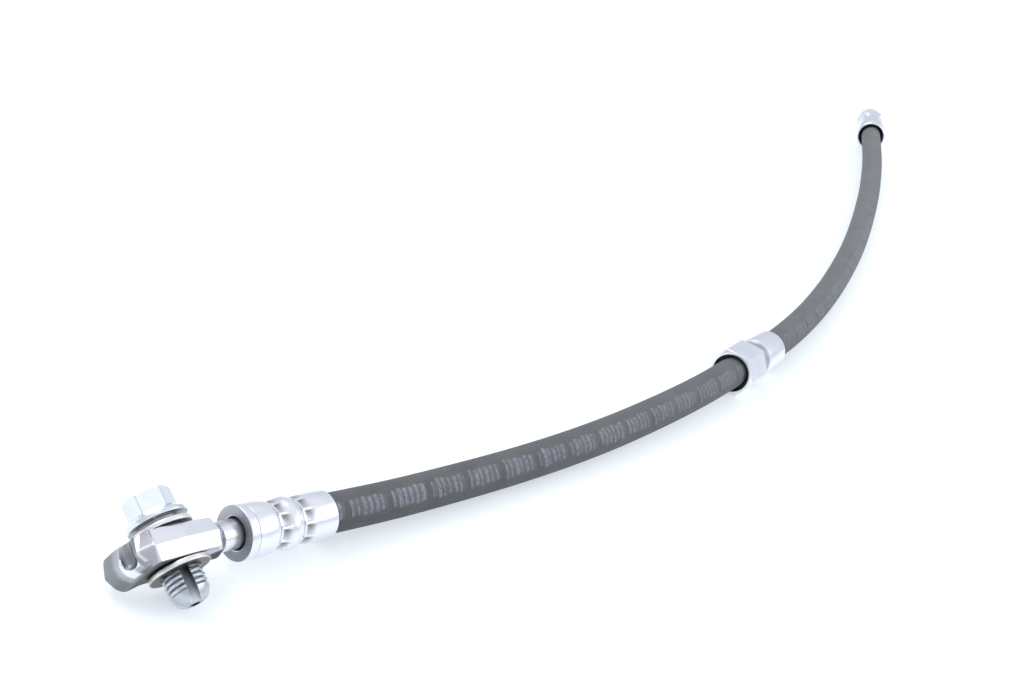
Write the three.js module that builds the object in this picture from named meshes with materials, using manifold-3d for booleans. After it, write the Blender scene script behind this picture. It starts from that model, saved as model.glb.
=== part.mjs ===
// Hydraulic brake hose in millimetres, +Z up, lying on the surface z = 0.
// One end is a forged banjo eye with its hollow bolt and two seal washers, the other a
// female pipe fitting. A hexagonal sleeve on the hose holds it in a bracket halfway.
import * as THREE from 'three';
import { mergeVertices } from 'three/addons/utils/BufferGeometryUtils.js';
import Module from 'manifold-3d';

const wasm = await Module();
wasm.setup();

// Clearances, and how far a cut overruns and a joined root reaches in
const fitGap = 0.3;
const layerGap = 0.12;
const cutMargin = 1;
const rootDepth = 2;
const cornerClearance = 0.05;

// Hose: bore, wall of each layer from the inside out
const hoseBore = 3.2;
const linerWall = 0.85;
const innerBraidWall = 0.45;
const middleWall = 0.45;
const outerBraidWall = 0.45;
const coverWall = 0.92;
const hoseSides = 10;
const hoseSteps = 28;

// Centre line of the hose, from inside the banjo ferrule to inside the end ferrule
const hoseRoute = [
  [-311.14, 18.44, 9.55],
  [-288.2, 11.4, 8.2],
  [-276.3, 7.75, 7.5],
  [-263.0, 3.75, 6.85],
  [-241.0, -2.7, 6.3],
  [-219.0, -8.9, 6.0],
  [-195.0, -15.1, 6.0],
  [-169.0, -20.9, 6.3],
  [-139.0, -26.3, 6.8],
  [-117.0, -29.6, 7.3],
  [-95.0, -31.8, 7.5],
  [-75.0, -33.2, 7.5],
  [-55.0, -34.6, 7.5],
  [-31.0, -35.1, 7.2],
  [-3.0, -34.4, 6.6],
  [31.0, -32.1, 5.9],
  [67.0, -28.4, 5.6],
  [103.0, -23.6, 5.5],
  [139.0, -17.6, 5.5],
  [175.0, -10.7, 5.7],
  [207.0, -3.9, 6.2],
  [235.0, 2.9, 7.0],
  [259.0, 9.2, 7.8],
  [283.0, 16.0, 8.2],
  [307.0, 22.9, 8.2],
  [331.0, 29.8, 8.2],
].map((point) => new THREE.Vector3(...point));

// Banjo eye: its own X runs to the hose and its own Z to the bolt head. The neck bends a
// little between the eye and the ferrule.
const banjoLean = 59.4;
const neckBend = 2.9;
const neckReach = 16;
const neckFree = 2.8;
const eyeHalfWidth = 7.5;
const eyeThickness = 8.2;
const eyeDraft = 1.1;
const eyeFrontLength = 12;
const eyeFrontHalfWidth = 6.4;
const eyeFrontTaper = 0.5;
const eyeCorner = 1.7;
const neckRadius = 3.5;
const neckFlare = 1.2;
const neckCollarRadius = 4.7;
const neckCollarLength = 1.5;
const nippleRadius = 1.25;
const nippleLength = 21;
const passageRadius = 0.75;

// Locating nose behind the eye, with a pocket in its end face
const noseReach = 13.4;
const noseShoulder = 8.8;
const noseHalfWidth = 9.4;
const noseSideLength = 4.6;
const noseCorner = 2.2;
const noseSlant = 1.8;
const noseFacet = 1.9;
const pocketWidth = 3.8;
const pocketHeight = 4;
const pocketDepth = 2.4;
const pocketOffset = 1.2;
const pocketRise = 0.8;

// Banjo bolt, M10, hollow and slotted
const boltRadius = 4.85;
const boltTip = 13.1;
const boltTipRadius = 3.2;
const boltTipChamfer = 3.0;
const boltSlot = 2.3;
const boltSlotDepth = 2.8;
const boltSlotTurn = 25;
const boltDrillRadius = 1.3;
const boltDrillLength = 15;
const flangeRadius = 7.4;
const flangeRim = 1.0;
const flangeHeight = 2.3;
const hexAcross = 10.3;
const hexHeight = 5.2;
const hexChamfer = 0.7;
const hexTurn = -29;

// Seal washers, loose on the bolt
const washerRadius = 7.5;
const washerThickness = 1.2;
const washerEdge = 0.2;
const upperWasherPlay = 0.35;
const lowerWasherPlay = 0.35;
const headPlay = 1.3;
const eyeBoreRadius = boltRadius + fitGap;

// Banjo ferrule
const ferruleWall = 1.8;
const ferruleLength = 28;
const ferruleHeadRadius = 6.9;
const ferruleRimLength = 2.6;
const ferruleRimStep = 0.15;
const ferruleShoulder = 5.4;
const ferruleMouthRadius = 6.25;
const ferruleHoleRadius = 3.95;
const ferruleEdge = 0.3;
const crimpDepth = 0.55;
const crimpWidth = 4.4;
const crimpPlaces = [10.4, 17.6];
const crimpSteps = [-1, -0.8, -0.45, 0.45, 0.8, 1];
const crimpFlatness = 0.7;
const crimpJaws = 8;
const crimpRibShare = 0.45;
const crimpRibSharpness = 6;

// Support sleeve halfway, centred on one point of the route
const supportPoint = 11;
const supportHeadAcross = 15;
const supportHeadLength = 14.5;
const supportGrooveLength = 6;
const supportGrooveRadius = 6.3;
const supportCollarLength = 15;
const supportCollarRadius = 6.9;
const supportRecessRadius = 6.5;
const supportRecessDepth = 3;
const supportRecessTaper = 0.8;
const supportChamfer = 1.0;
const supportChamferLength = 0.6;
const supportGrooveEdge = 0.4;
const supportEndChamfer = 0.6;

// End ferrule and female end fitting
const endInsertion = 22;
const endMouthRadius = 8.2;
const endMouthLength = 9;
const endMouthChamfer = 0.5;
const endShoulder = 0.6;
const endBodyRadius = 7.1;
const endNippleLength = 17;
const endNippleCollar = 0.9;
const endCrimpPlaces = [13.2, 18.6];
const endRecessRadius = 6.9;
const endRecessDepth = 2.5;
const endRecessTaper = 0.6;
const endEdge = 0.4;
const endHexAcross = 14;
const endHexLength = 8;
const endHexChamfer = 0.8;
const endHexChamferLength = 0.5;
const endGrooveLength = 2.2;
const endGrooveRadius = 6.0;
const endGrooveEdge = 0.3;
const endCollarLength = 3.2;
const endCollarRadius = 7.0;
const portRadius = 4.5;
const portDepth = 10;
const portDrillTip = 2;
const portChamfer = 0.6;

const hoseRadii = [hoseBore / 2];
for (const wall of [linerWall, innerBraidWall, middleWall, outerBraidWall, coverWall]) {
  hoseRadii.push(hoseRadii.at(-1) + wall + layerGap);
}
const hoseRadius = hoseRadii.at(-1) - layerGap;
const sleeveBoreRadius = hoseRadius + fitGap;
const endFerruleLength = endInsertion + endNippleCollar + 2 * fitGap + ferruleWall;

const zincSteel = { color: 0xc9ccd2, roughness: 0.35, metalness: 0.85 };
const boltSteel = { color: 0xc3c8d0, roughness: 0.3, metalness: 0.85 };
const softWasher = { color: 0xd8cfc0, roughness: 0.4, metalness: 0.8 };
const hoseRubber = { color: 0x4b4d4d, roughness: 0.75, metalness: 0 };
const linerRubber = { color: 0x2a2a2a, roughness: 0.6, metalness: 0 };
const braidTextile = { color: 0xcfc8b4, roughness: 0.9, metalness: 0 };

// A closed geometry as a solid, and back
function solidOf(geometry) {
  const bare = geometry.clone();
  bare.deleteAttribute('normal');
  bare.deleteAttribute('uv');
  const merged = mergeVertices(bare, 1e-4);
  return new wasm.Manifold(new wasm.Mesh({
    numProp: 3,
    vertProperties: new Float32Array(merged.attributes.position.array),
    triVerts: new Uint32Array(merged.index.array),
  }));
}

function geometryOf(solid) {
  const mesh = solid.getMesh();
  const geometry = new THREE.BufferGeometry();
  geometry.setAttribute('position', new THREE.BufferAttribute(mesh.vertProperties, 3));
  geometry.setIndex(new THREE.BufferAttribute(mesh.triVerts, 1));
  geometry.computeVertexNormals();
  return geometry;
}

// A closed profile of [place, radius] pairs turned about the X axis. It starts and ends on
// the axis, or closes on itself, and runs towards +X along the outside.
function turnedX(profile, sides = 36) {
  const points = profile.map(([place, radius]) => new THREE.Vector2(radius, place));
  return new THREE.LatheGeometry(points, sides).rotateZ(-Math.PI / 2);
}

function turnedZ(profile, sides = 36) {
  return turnedX(profile, sides).rotateY(-Math.PI / 2);
}

function ringProfile(outside, inside) {
  return [...outside, ...inside.toReversed(), outside[0]];
}

function rodX(from, to, radius, sides = 24) {
  return solidOf(turnedX([[from, 0], [from, radius], [to, radius], [to, 0]], sides));
}

function rodZ(from, to, radius, sides = 36) {
  return solidOf(turnedZ([[from, 0], [from, radius], [to, radius], [to, 0]], sides));
}

function outline(points) {
  return new THREE.Shape(points.map(([x, y]) => new THREE.Vector2(x, y)));
}

// Prisms of an outline: along Z from an outline in X, Y, and along X from one in Y, Z
function prismZ(points, from, to) {
  const depth = to - from;
  const geometry = new THREE.ExtrudeGeometry(outline(points), { depth, bevelEnabled: false });
  return solidOf(geometry.translate(0, 0, from));
}

function prismX(points, from, to) {
  const depth = to - from;
  const geometry = new THREE.ExtrudeGeometry(outline(points), { depth, bevelEnabled: false });
  return solidOf(geometry.rotateY(Math.PI / 2).rotateX(Math.PI / 2).translate(from, 0, 0));
}

function polygon(sides, corner, turn = 0) {
  return Array.from({ length: sides }, (_, side) => {
    const angle = turn + side * 2 * Math.PI / sides;
    return [corner * Math.cos(angle), corner * Math.sin(angle)];
  });
}

function hexagon(across, turn) {
  return polygon(6, across / Math.sqrt(3), turn);
}

// Jaws press each crimp: pockets between narrow ribs around the groove
function crimpRadius(place, angle, radius, crimps) {
  let dip = 0;
  for (const crimp of crimps) {
    const across = Math.abs(place - crimp) / (crimpWidth / 2);
    if (across < 1) {
      dip = Math.cos(across * Math.PI / 2) ** crimpFlatness;
    }
  }
  const rib = Math.max(0, Math.cos(angle * crimpJaws)) ** crimpRibSharpness;
  return radius - crimpDepth * dip * (1 - crimpRibShare * rib);
}

function crimpedSleeve(outside, inside, crimps) {
  const sides = crimpJaws * 6;
  const geometry = turnedX(ringProfile(outside, inside), sides);
  const place = geometry.attributes.position;
  for (let index = 0; index < place.count; index += 1) {
    const y = place.getY(index);
    const z = place.getZ(index);
    const radius = Math.hypot(y, z);
    if (radius > sleeveBoreRadius + cornerClearance) {
      const scale = crimpRadius(place.getX(index), Math.atan2(z, y), radius, crimps) / radius;
      place.setY(index, y * scale);
      place.setZ(index, z * scale);
    }
  }
  return geometry;
}

function crimpStations(crimps) {
  return crimps.flatMap((crimp) => crimpSteps.map((step) => crimp + step * crimpWidth / 2));
}

// Corners of an anticlockwise outline moved inwards by a distance
function inset(points, distance) {
  return points.map((point, index) => {
    const before = points.at(index - 1);
    const after = points[(index + 1) % points.length];
    const into = new THREE.Vector2(point[0] - before[0], point[1] - before[1]).normalize();
    const out = new THREE.Vector2(after[0] - point[0], after[1] - point[1]).normalize();
    const reach = distance / (1 + into.dot(out));
    return [
      point[0] - (into.y + out.y) * reach,
      point[1] + (into.x + out.x) * reach,
    ];
  });
}

// A forged block: widest at its parting line, drafted to both faces, thinner to its front
function forgedBlock(plan, half) {
  const edge = inset(plan, eyeDraft);
  const rings = [[edge, -half], [plan, 0], [edge, half]];
  const positions = rings.flatMap(([ring, height]) => ring.flatMap(([x, y]) => {
    const front = THREE.MathUtils.clamp(x / eyeFrontLength, 0, 1);
    return [x, y, height - Math.sign(height) * front * eyeFrontTaper];
  }));
  const count = plan.length;
  const faces = [];
  for (const ring of [0, count]) {
    for (let index = 0; index < count; index += 1) {
      const low = ring + index;
      const next = ring + (index + 1) % count;
      faces.push(low, next, next + count, low, next + count, low + count);
    }
  }
  const contour = edge.map(([x, y]) => new THREE.Vector2(x, y));
  for (const [a, b, c] of THREE.ShapeUtils.triangulateShape(contour, [])) {
    faces.push(a, c, b, a + 2 * count, b + 2 * count, c + 2 * count);
  }
  return new wasm.Manifold(new wasm.Mesh({
    numProp: 3,
    vertProperties: new Float32Array(positions),
    triVerts: new Uint32Array(faces),
  }));
}

// Eye, neck and nipple in one forging. Its frame starts where the neck bends, with X along
// the ferrule.
function banjoBody() {
  const front = eyeFrontLength;
  const side = eyeHalfWidth;
  const frontSide = eyeFrontHalfWidth;
  const lug = noseHalfWidth;
  const plan = [
    [-noseShoulder, -side],
    [0, -side],
    [front - eyeCorner, -frontSide],
    [front, -frontSide + eyeCorner],
    [front, frontSide - eyeCorner],
    [front - eyeCorner, frontSide],
    [0, side],
    [-noseReach + noseSideLength + noseCorner, side],
    [-noseReach + noseSideLength, lug],
    [-noseReach + noseCorner, lug],
    [-noseReach, lug - noseCorner],
    [-noseReach, noseCorner],
    [-noseReach + noseSlant, -side + 2 * noseFacet / Math.SQRT2],
    [-noseShoulder - noseFacet, -side + noseFacet],
  ];
  const collarStart = neckFree + ferruleWall + fitGap;
  const nippleStart = collarStart + neckCollarLength;
  const nippleEnd = nippleStart + nippleLength;
  const neck = solidOf(turnedX([
    [front - rootDepth, 0],
    [front - rootDepth, neckRadius],
    [front - neckFlare / 2, neckRadius + neckFlare],
    [front + neckFlare, neckRadius],
    [neckReach, neckRadius],
    [neckReach, 0],
  ], 32));
  const tail = solidOf(turnedX([
    [0, 0],
    [0, neckRadius],
    [collarStart, neckRadius],
    [collarStart, neckCollarRadius],
    [nippleStart, neckCollarRadius],
    [nippleStart, nippleRadius],
    [nippleEnd, nippleRadius],
    [nippleEnd, 0],
  ], 32));
  const bore = rodZ(-eyeThickness, eyeThickness, eyeBoreRadius, 40);
  const eye = forgedBlock(plan, eyeThickness / 2).add(neck).subtract(bore)
    .subtract(rodX(0, neckReach, passageRadius, 12)).subtract(nosePocket());
  const bend = wasm.Manifold.sphere(neckRadius, 32);
  return eye.translate([-neckReach, 0, 0]).rotate([0, -neckBend, 0]).add(bend).add(tail)
    .subtract(rodX(-cutMargin, nippleEnd + cutMargin, passageRadius, 12));
}

// The pocket is sunk into the end face beside the nose
function nosePocket() {
  return solidOf(new THREE.BoxGeometry(2 * pocketDepth, pocketWidth, pocketHeight)
    .translate(-noseReach, -pocketOffset, pocketRise));
}

// Hollow bolt: hexagon, conical flange, shank, slot, axial drilling and cross hole
function banjoBolt() {
  const flangeFace = eyeThickness / 2 + upperWasherPlay + washerThickness + headPlay;
  const hexStart = flangeFace + flangeHeight;
  const top = hexStart + hexHeight;
  const corner = hexAcross / Math.sqrt(3);
  const turn = THREE.MathUtils.degToRad(hexTurn);
  const slotTurn = THREE.MathUtils.degToRad(-boltSlotTurn);
  const shank = solidOf(turnedZ([
    [-boltTip, 0],
    [-boltTip, boltTipRadius],
    [-boltTip + boltTipChamfer, boltRadius],
    [flangeFace, boltRadius],
    [flangeFace, flangeRadius],
    [flangeFace + flangeRim, flangeRadius],
    [hexStart, corner],
    [hexStart, 0],
  ], 40));
  const hex = prismZ(hexagon(hexAcross, turn), flangeFace + flangeRim, top);
  const crown = solidOf(turnedZ([
    [flangeFace, 0],
    [flangeFace, corner + fitGap],
    [top - hexChamfer, corner + fitGap],
    [top, hexAcross / 2 - hexChamfer],
    [top, 0],
  ], 40));
  const slot = solidOf(new THREE.BoxGeometry(boltSlot, boltSlotDepth * 2, boltTip)
    .translate(0, -boltRadius, -boltTip / 2 - lowerFace()).rotateZ(slotTurn));
  const drilling = rodZ(-boltTip - cutMargin, boltDrillLength - boltTip, boltDrillRadius, 16);
  const crossEnd = boltRadius + cutMargin;
  const crossHole = rodX(-crossEnd, crossEnd, boltDrillRadius, 16);
  return shank.add(hex.intersect(crown)).subtract(slot).subtract(drilling).subtract(crossHole);
}

function lowerFace() {
  return eyeThickness / 2 + lowerWasherPlay + washerThickness;
}

function sealWasher(from) {
  return turnedZ(ringProfile(
    [
      [from, washerRadius - washerEdge],
      [from + washerEdge, washerRadius],
      [from + washerThickness - washerEdge, washerRadius],
      [from + washerThickness, washerRadius - washerEdge],
    ],
    [
      [from, boltRadius + fitGap],
      [from + washerThickness, boltRadius + fitGap],
    ],
  ), 40);
}

// Ferrule with its end wall on the neck and its open mouth on the hose
function banjoFerrule() {
  const mouth = ferruleLength;
  const stations = crimpStations(crimpPlaces);
  const shoulderRadius = ferruleHeadRadius - ferruleRimStep;
  const radiusAt = (place) => THREE.MathUtils.lerp(shoulderRadius, ferruleMouthRadius,
    THREE.MathUtils.smoothstep(place, ferruleShoulder, crimpPlaces[1]));
  const outside = [
    [0, ferruleHeadRadius - ferruleEdge],
    [ferruleEdge, ferruleHeadRadius],
    [ferruleRimLength, ferruleHeadRadius],
    [ferruleRimLength + ferruleRimStep, shoulderRadius],
    [ferruleShoulder, shoulderRadius],
    ...stations.map((place) => [place, radiusAt(place)]),
    [mouth - ferruleEdge, ferruleMouthRadius],
    [mouth, ferruleMouthRadius - ferruleEdge],
  ];
  const inside = [
    [0, ferruleHoleRadius],
    [ferruleWall, ferruleHoleRadius],
    [ferruleWall, sleeveBoreRadius],
    [mouth, sleeveBoreRadius],
  ];
  return crimpedSleeve(outside, inside, crimpPlaces).translate(neckFree, 0, 0);
}

// Support sleeve: hexagonal head with a recessed mouth, clip groove and round collar
function supportSleeve() {
  const head = supportHeadLength;
  const groove = head + supportGrooveLength;
  const length = groove + supportCollarLength;
  const corner = supportHeadAcross / Math.sqrt(3);
  const hex = prismX(hexagon(supportHeadAcross), 0, head);
  const crown = solidOf(turnedX([
    [0, 0],
    [0, corner - supportChamfer],
    [supportChamferLength, corner + cornerClearance],
    [head - supportChamferLength, corner + cornerClearance],
    [head, corner - supportChamfer],
    [head, 0],
  ], 48));
  const tail = solidOf(turnedX([
    [head - rootDepth, 0],
    [head - rootDepth, supportGrooveRadius],
    [groove, supportGrooveRadius],
    [groove + supportGrooveEdge, supportCollarRadius],
    [length - supportEndChamfer, supportCollarRadius],
    [length, supportCollarRadius - supportEndChamfer],
    [length, 0],
  ], 36));
  const bore = rodX(-cutMargin, length + cutMargin, sleeveBoreRadius, 36);
  const recess = solidOf(turnedX([
    [-cutMargin, 0],
    [-cutMargin, supportRecessRadius],
    [supportRecessDepth - supportRecessTaper, supportRecessRadius],
    [supportRecessDepth, sleeveBoreRadius],
    [supportRecessDepth, 0],
  ], 36));
  return hex.intersect(crown).add(tail).subtract(bore).subtract(recess);
}

// Ferrule at the pipe end, its wide mouth towards the hose
function endFerrule() {
  const stations = crimpStations(endCrimpPlaces);
  const outside = [
    [0, endMouthRadius - endMouthChamfer],
    [endMouthChamfer, endMouthRadius],
    [endMouthLength - endShoulder, endMouthRadius],
    [endMouthLength + endShoulder, endBodyRadius],
    ...stations.map((place) => [place, endBodyRadius]),
    [endFerruleLength - endEdge, endBodyRadius],
    [endFerruleLength, endBodyRadius - endEdge],
  ];
  const inside = [
    [0, endRecessRadius],
    [endRecessDepth, endRecessRadius],
    [endRecessDepth + endRecessTaper, sleeveBoreRadius],
    [endFerruleLength - ferruleWall, sleeveBoreRadius],
    [endFerruleLength - ferruleWall, ferruleHoleRadius],
    [endFerruleLength, ferruleHoleRadius],
  ];
  return crimpedSleeve(outside, inside, endCrimpPlaces);
}

// Female fitting: nipple in the hose, hexagon, clip groove, collar and the pipe port
function endFitting() {
  const hexStart = endFerruleLength + fitGap;
  const hexEnd = hexStart + endHexLength;
  const grooveEnd = hexEnd + endGrooveLength;
  const end = grooveEnd + endCollarLength;
  const collarEnd = endFerruleLength - ferruleWall - fitGap;
  const collarStart = collarEnd - endNippleCollar;
  const corner = endHexAcross / Math.sqrt(3);
  const nippleStart = collarStart - endNippleLength;
  const turned = solidOf(turnedX([
    [nippleStart, 0],
    [nippleStart, nippleRadius],
    [collarStart, nippleRadius],
    [collarStart, neckCollarRadius],
    [collarEnd, neckCollarRadius],
    [collarEnd, neckRadius],
    [hexStart, neckRadius],
    [hexStart, endGrooveRadius],
    [grooveEnd, endGrooveRadius],
    [grooveEnd + endGrooveEdge, endCollarRadius],
    [end - endEdge, endCollarRadius],
    [end, endCollarRadius - endEdge],
    [end, 0],
  ], 36));
  const hex = prismX(hexagon(endHexAcross), hexStart, hexEnd);
  const crown = solidOf(turnedX([
    [hexStart, 0],
    [hexStart, corner - endHexChamfer],
    [hexStart + endHexChamferLength, corner + cornerClearance],
    [hexEnd - endHexChamferLength, corner + cornerClearance],
    [hexEnd, corner - endHexChamfer],
    [hexEnd, 0],
  ], 48));
  const port = solidOf(turnedX([
    [end - portDepth - portDrillTip, 0],
    [end - portDepth, portRadius],
    [end - portChamfer, portRadius],
    [end + cutMargin, portRadius + portChamfer + cutMargin],
    [end + cutMargin, 0],
  ], 32));
  const passage = rodX(nippleStart - cutMargin, end, passageRadius, 12);
  return turned.add(hex.intersect(crown)).subtract(port).subtract(passage);
}

// One layer of the hose along the route
function hoseLayer(layer, path) {
  const section = outline(polygon(hoseSides, hoseRadii[layer + 1] - layerGap));
  const hole = polygon(hoseSides, hoseRadii[layer]);
  section.holes.push(new THREE.Path(hole.map(([x, y]) => new THREE.Vector2(x, y))));
  const options = { steps: hoseSteps, extrudePath: path, bevelEnabled: false };
  return new THREE.ExtrudeGeometry(section, options);
}

// A frame whose X runs along a direction and whose Z leans from upright by an angle
function frameAt(origin, direction, lean = 0) {
  const x = direction.clone().normalize();
  const up = new THREE.Vector3(0, 0, 1).addScaledVector(x, -x.z).normalize();
  const z = up.applyAxisAngle(x, -THREE.MathUtils.degToRad(lean));
  const y = new THREE.Vector3().crossVectors(z, x);
  const frame = new THREE.Group();
  frame.position.copy(origin);
  frame.quaternion.setFromRotationMatrix(new THREE.Matrix4().makeBasis(x, y, z));
  return frame;
}

function addMesh(parent, name, shape, finish) {
  const geometry = shape.isBufferGeometry ? shape : geometryOf(shape);
  const mesh = new THREE.Mesh(geometry, new THREE.MeshStandardMaterial(finish));
  mesh.name = name;
  parent.add(mesh);
}

const group = new THREE.Group();
const path = new THREE.CatmullRomCurve3(hoseRoute, false, 'centripetal');

const banjoAxis = hoseRoute[1].clone().sub(hoseRoute[0]).normalize();
const hoseStart = neckFree + ferruleWall + fitGap + neckCollarLength + fitGap;
const bendPoint = hoseRoute[0].clone().addScaledVector(banjoAxis, -hoseStart);
const banjo = frameAt(bendPoint, banjoAxis, banjoLean);
addMesh(banjo, 'banjo_body', banjoBody(), zincSteel);
addMesh(banjo, 'banjo_ferrule', banjoFerrule(), zincSteel);
const bend = THREE.MathUtils.degToRad(neckBend);
const eye = new THREE.Group();
eye.rotation.y = -bend;
eye.position.set(-neckReach * Math.cos(bend), 0, -neckReach * Math.sin(bend));
addMesh(eye, 'banjo_bolt', banjoBolt(), boltSteel);
addMesh(eye, 'seal_washer_upper', sealWasher(eyeThickness / 2 + upperWasherPlay), softWasher);
addMesh(eye, 'seal_washer_lower', sealWasher(-lowerFace()), softWasher);
banjo.add(eye);
group.add(banjo);

const supportAxis = hoseRoute[supportPoint + 1].clone().sub(hoseRoute[supportPoint]);
const supportLength = supportHeadLength + supportGrooveLength + supportCollarLength;
const supportStart = hoseRoute[supportPoint].clone()
  .addScaledVector(supportAxis.clone().normalize(), -supportLength / 2);
const support = frameAt(supportStart, supportAxis);
addMesh(support, 'support_sleeve', supportSleeve(), zincSteel);
group.add(support);

const endAxis = hoseRoute.at(-1).clone().sub(hoseRoute.at(-2)).normalize();
const endMouth = hoseRoute.at(-1).clone().addScaledVector(endAxis, -endInsertion);
const end = frameAt(endMouth, endAxis);
addMesh(end, 'end_ferrule', endFerrule(), zincSteel);
addMesh(end, 'end_fitting', endFitting(), zincSteel);
group.add(end);

addMesh(group, 'hose_liner', hoseLayer(0, path), linerRubber);
addMesh(group, 'hose_braid_inner', hoseLayer(1, path), braidTextile);
addMesh(group, 'hose_middle_layer', hoseLayer(2, path), linerRubber);
addMesh(group, 'hose_braid_outer', hoseLayer(3, path), braidTextile);
addMesh(group, 'hose_cover', hoseLayer(4, path), hoseRubber);

export default group;
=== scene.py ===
import math

import bpy
import numpy as np
from mathutils import Matrix, Quaternion, Vector


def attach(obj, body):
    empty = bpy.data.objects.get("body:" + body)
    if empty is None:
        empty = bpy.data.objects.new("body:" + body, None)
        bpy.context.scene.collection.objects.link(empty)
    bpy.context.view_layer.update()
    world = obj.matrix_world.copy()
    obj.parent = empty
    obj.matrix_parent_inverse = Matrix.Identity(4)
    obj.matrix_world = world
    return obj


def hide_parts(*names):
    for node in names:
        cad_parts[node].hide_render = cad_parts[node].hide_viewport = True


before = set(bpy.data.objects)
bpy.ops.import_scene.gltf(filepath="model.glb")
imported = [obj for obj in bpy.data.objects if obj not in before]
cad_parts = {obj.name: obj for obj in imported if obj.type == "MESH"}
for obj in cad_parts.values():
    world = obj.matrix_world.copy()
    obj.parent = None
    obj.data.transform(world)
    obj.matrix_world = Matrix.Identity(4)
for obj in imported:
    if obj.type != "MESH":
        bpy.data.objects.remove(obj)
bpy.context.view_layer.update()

MM = 0.001

# Camera and render settings
CAMERA_PLACE = (-0.599, -0.136, 0.22066)
CAMERA_RIGHT = (0.4407, -0.8545, 0.2749)
CAMERA_UP = (0.2603, 0.4148, 0.8720)
CAMERA_AHEAD = (0.8591, 0.3127, -0.4051)
CAMERA_LENS = 56.25

# The hose's centre line, as in the CAD source
HOSE_ROUTE = [
    (-0.31114, 0.01844, 0.00955),
    (-0.2882, 0.0114, 0.0082),
    (-0.2763, 0.00775, 0.0075),
    (-0.263, 0.00375, 0.00685),
    (-0.241, -0.0027, 0.0063),
    (-0.219, -0.0089, 0.006),
    (-0.195, -0.0151, 0.006),
    (-0.169, -0.0209, 0.0063),
    (-0.139, -0.0263, 0.0068),
    (-0.117, -0.0296, 0.0073),
    (-0.095, -0.0318, 0.0075),
    (-0.075, -0.0332, 0.0075),
    (-0.055, -0.0346, 0.0075),
    (-0.031, -0.0351, 0.0072),
    (-0.003, -0.0344, 0.0066),
    (0.031, -0.0321, 0.0059),
    (0.067, -0.0284, 0.0056),
    (0.103, -0.0236, 0.0055),
    (0.139, -0.0176, 0.0055),
    (0.175, -0.0107, 0.0057),
    (0.207, -0.0039, 0.0062),
    (0.235, 0.0029, 0.007),
    (0.259, 0.0092, 0.0078),
    (0.283, 0.016, 0.0082),
    (0.307, 0.0229, 0.0082),
    (0.331, 0.0298, 0.0082),
]
HOSE_RADIUS = 5.2
HOSE_BORE = 4.24


def make_camera():
    data = bpy.data.cameras.new("camera")
    data.lens = CAMERA_LENS
    data.sensor_width = 36
    data.clip_start = 0.01
    data.clip_end = 50
    camera = bpy.data.objects.new("camera", data)
    bpy.context.scene.collection.objects.link(camera)
    back = -Vector(CAMERA_AHEAD)
    axes = Matrix((Vector(CAMERA_RIGHT), Vector(CAMERA_UP), back)).transposed()
    camera.matrix_world = Matrix.Translation(CAMERA_PLACE) @ axes.to_4x4()
    bpy.context.scene.camera = camera


# Frames and routes

def frame_at(origin, direction, lean=0.0):
    x = Vector(direction).normalized()
    up = (Vector((0, 0, 1)) - x * x.z).normalized()
    z = Quaternion(x, -math.radians(lean)) @ up
    y = z.cross(x)
    return Matrix.Translation(origin) @ Matrix((x, y, z)).transposed().to_4x4()


def centripetal(points, per_span):
    """Points on the centripetal Catmull-Rom curve through a list of points."""
    knots = [Vector(p) for p in points]
    knots = [knots[0] * 2 - knots[1]] + knots + [knots[-1] * 2 - knots[-2]]
    line = []
    for i in range(1, len(knots) - 2):
        p0, p1, p2, p3 = knots[i - 1 : i + 3]
        d0 = (p1 - p0).length ** 0.5
        d1 = (p2 - p1).length ** 0.5
        d2 = (p3 - p2).length ** 0.5
        t1 = ((p1 - p0) / d0 - (p2 - p0) / (d0 + d1) + (p2 - p1) / d1) * d1
        t2 = ((p2 - p1) / d1 - (p3 - p1) / (d1 + d2) + (p3 - p2) / d2) * d1
        for step in range(per_span):
            t = step / per_span
            c2 = -3 * p1 + 3 * p2 - 2 * t1 - t2
            c3 = 2 * p1 - 2 * p2 + t1 + t2
            line.append(p1 + t1 * t + c2 * t * t + c3 * t ** 3)
    line.append(knots[-2].copy())
    return np.array([tuple(p) for p in line])


def even(line, count):
    """A line resampled at even steps, and the distance along it in metres."""
    steps = np.linalg.norm(np.diff(line, axis=0), axis=1)
    along = np.concatenate([[0], np.cumsum(steps)])
    places = np.linspace(0, along[-1], count)
    return np.stack([np.interp(places, along, line[:, k]) for k in range(3)], 1), places


# Meshes

def add_piece(name, vertices, faces, matrix=Matrix(), sharp=40, uvs=None):
    """A smooth-shaded mesh piece from points in millimetres in the frame of a matrix."""
    points = np.asarray(vertices, float) * MM
    points = points @ np.array(matrix.to_3x3()).T + np.array(matrix.translation)
    mesh = bpy.data.meshes.new(name)
    mesh.from_pydata(points.tolist(), [], faces)
    mesh.validate()
    mesh.polygons.foreach_set("use_smooth", [True] * len(mesh.polygons))
    mesh.set_sharp_from_angle(angle=math.radians(sharp))
    if uvs is not None:
        layer = mesh.uv_layers.new(name="UVMap")
        layer.data.foreach_set("uv", np.asarray(uvs, float).ravel())
    piece = bpy.data.objects.new(name, mesh)
    bpy.context.scene.collection.objects.link(piece)
    return piece


def rounded(profile, reach, steps=5):
    """A profile with each corner replaced by a short arc that starts reach away from it."""
    points = [np.array(p, float) for p in profile]
    out = [points[0]]
    for before, corner, after in zip(points, points[1:], points[2:]):
        back, ahead = before - corner, after - corner
        lb, la = np.linalg.norm(back), np.linalg.norm(ahead)
        d = min(reach, 0.45 * lb, 0.45 * la)
        a, b = corner + back / lb * d, corner + ahead / la * d
        for t in np.linspace(0, 1, steps):
            out.append((1 - t) ** 2 * a + 2 * t * (1 - t) * corner + t * t * b)
    out.append(points[-1])
    return [tuple(p) for p in out]


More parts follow.
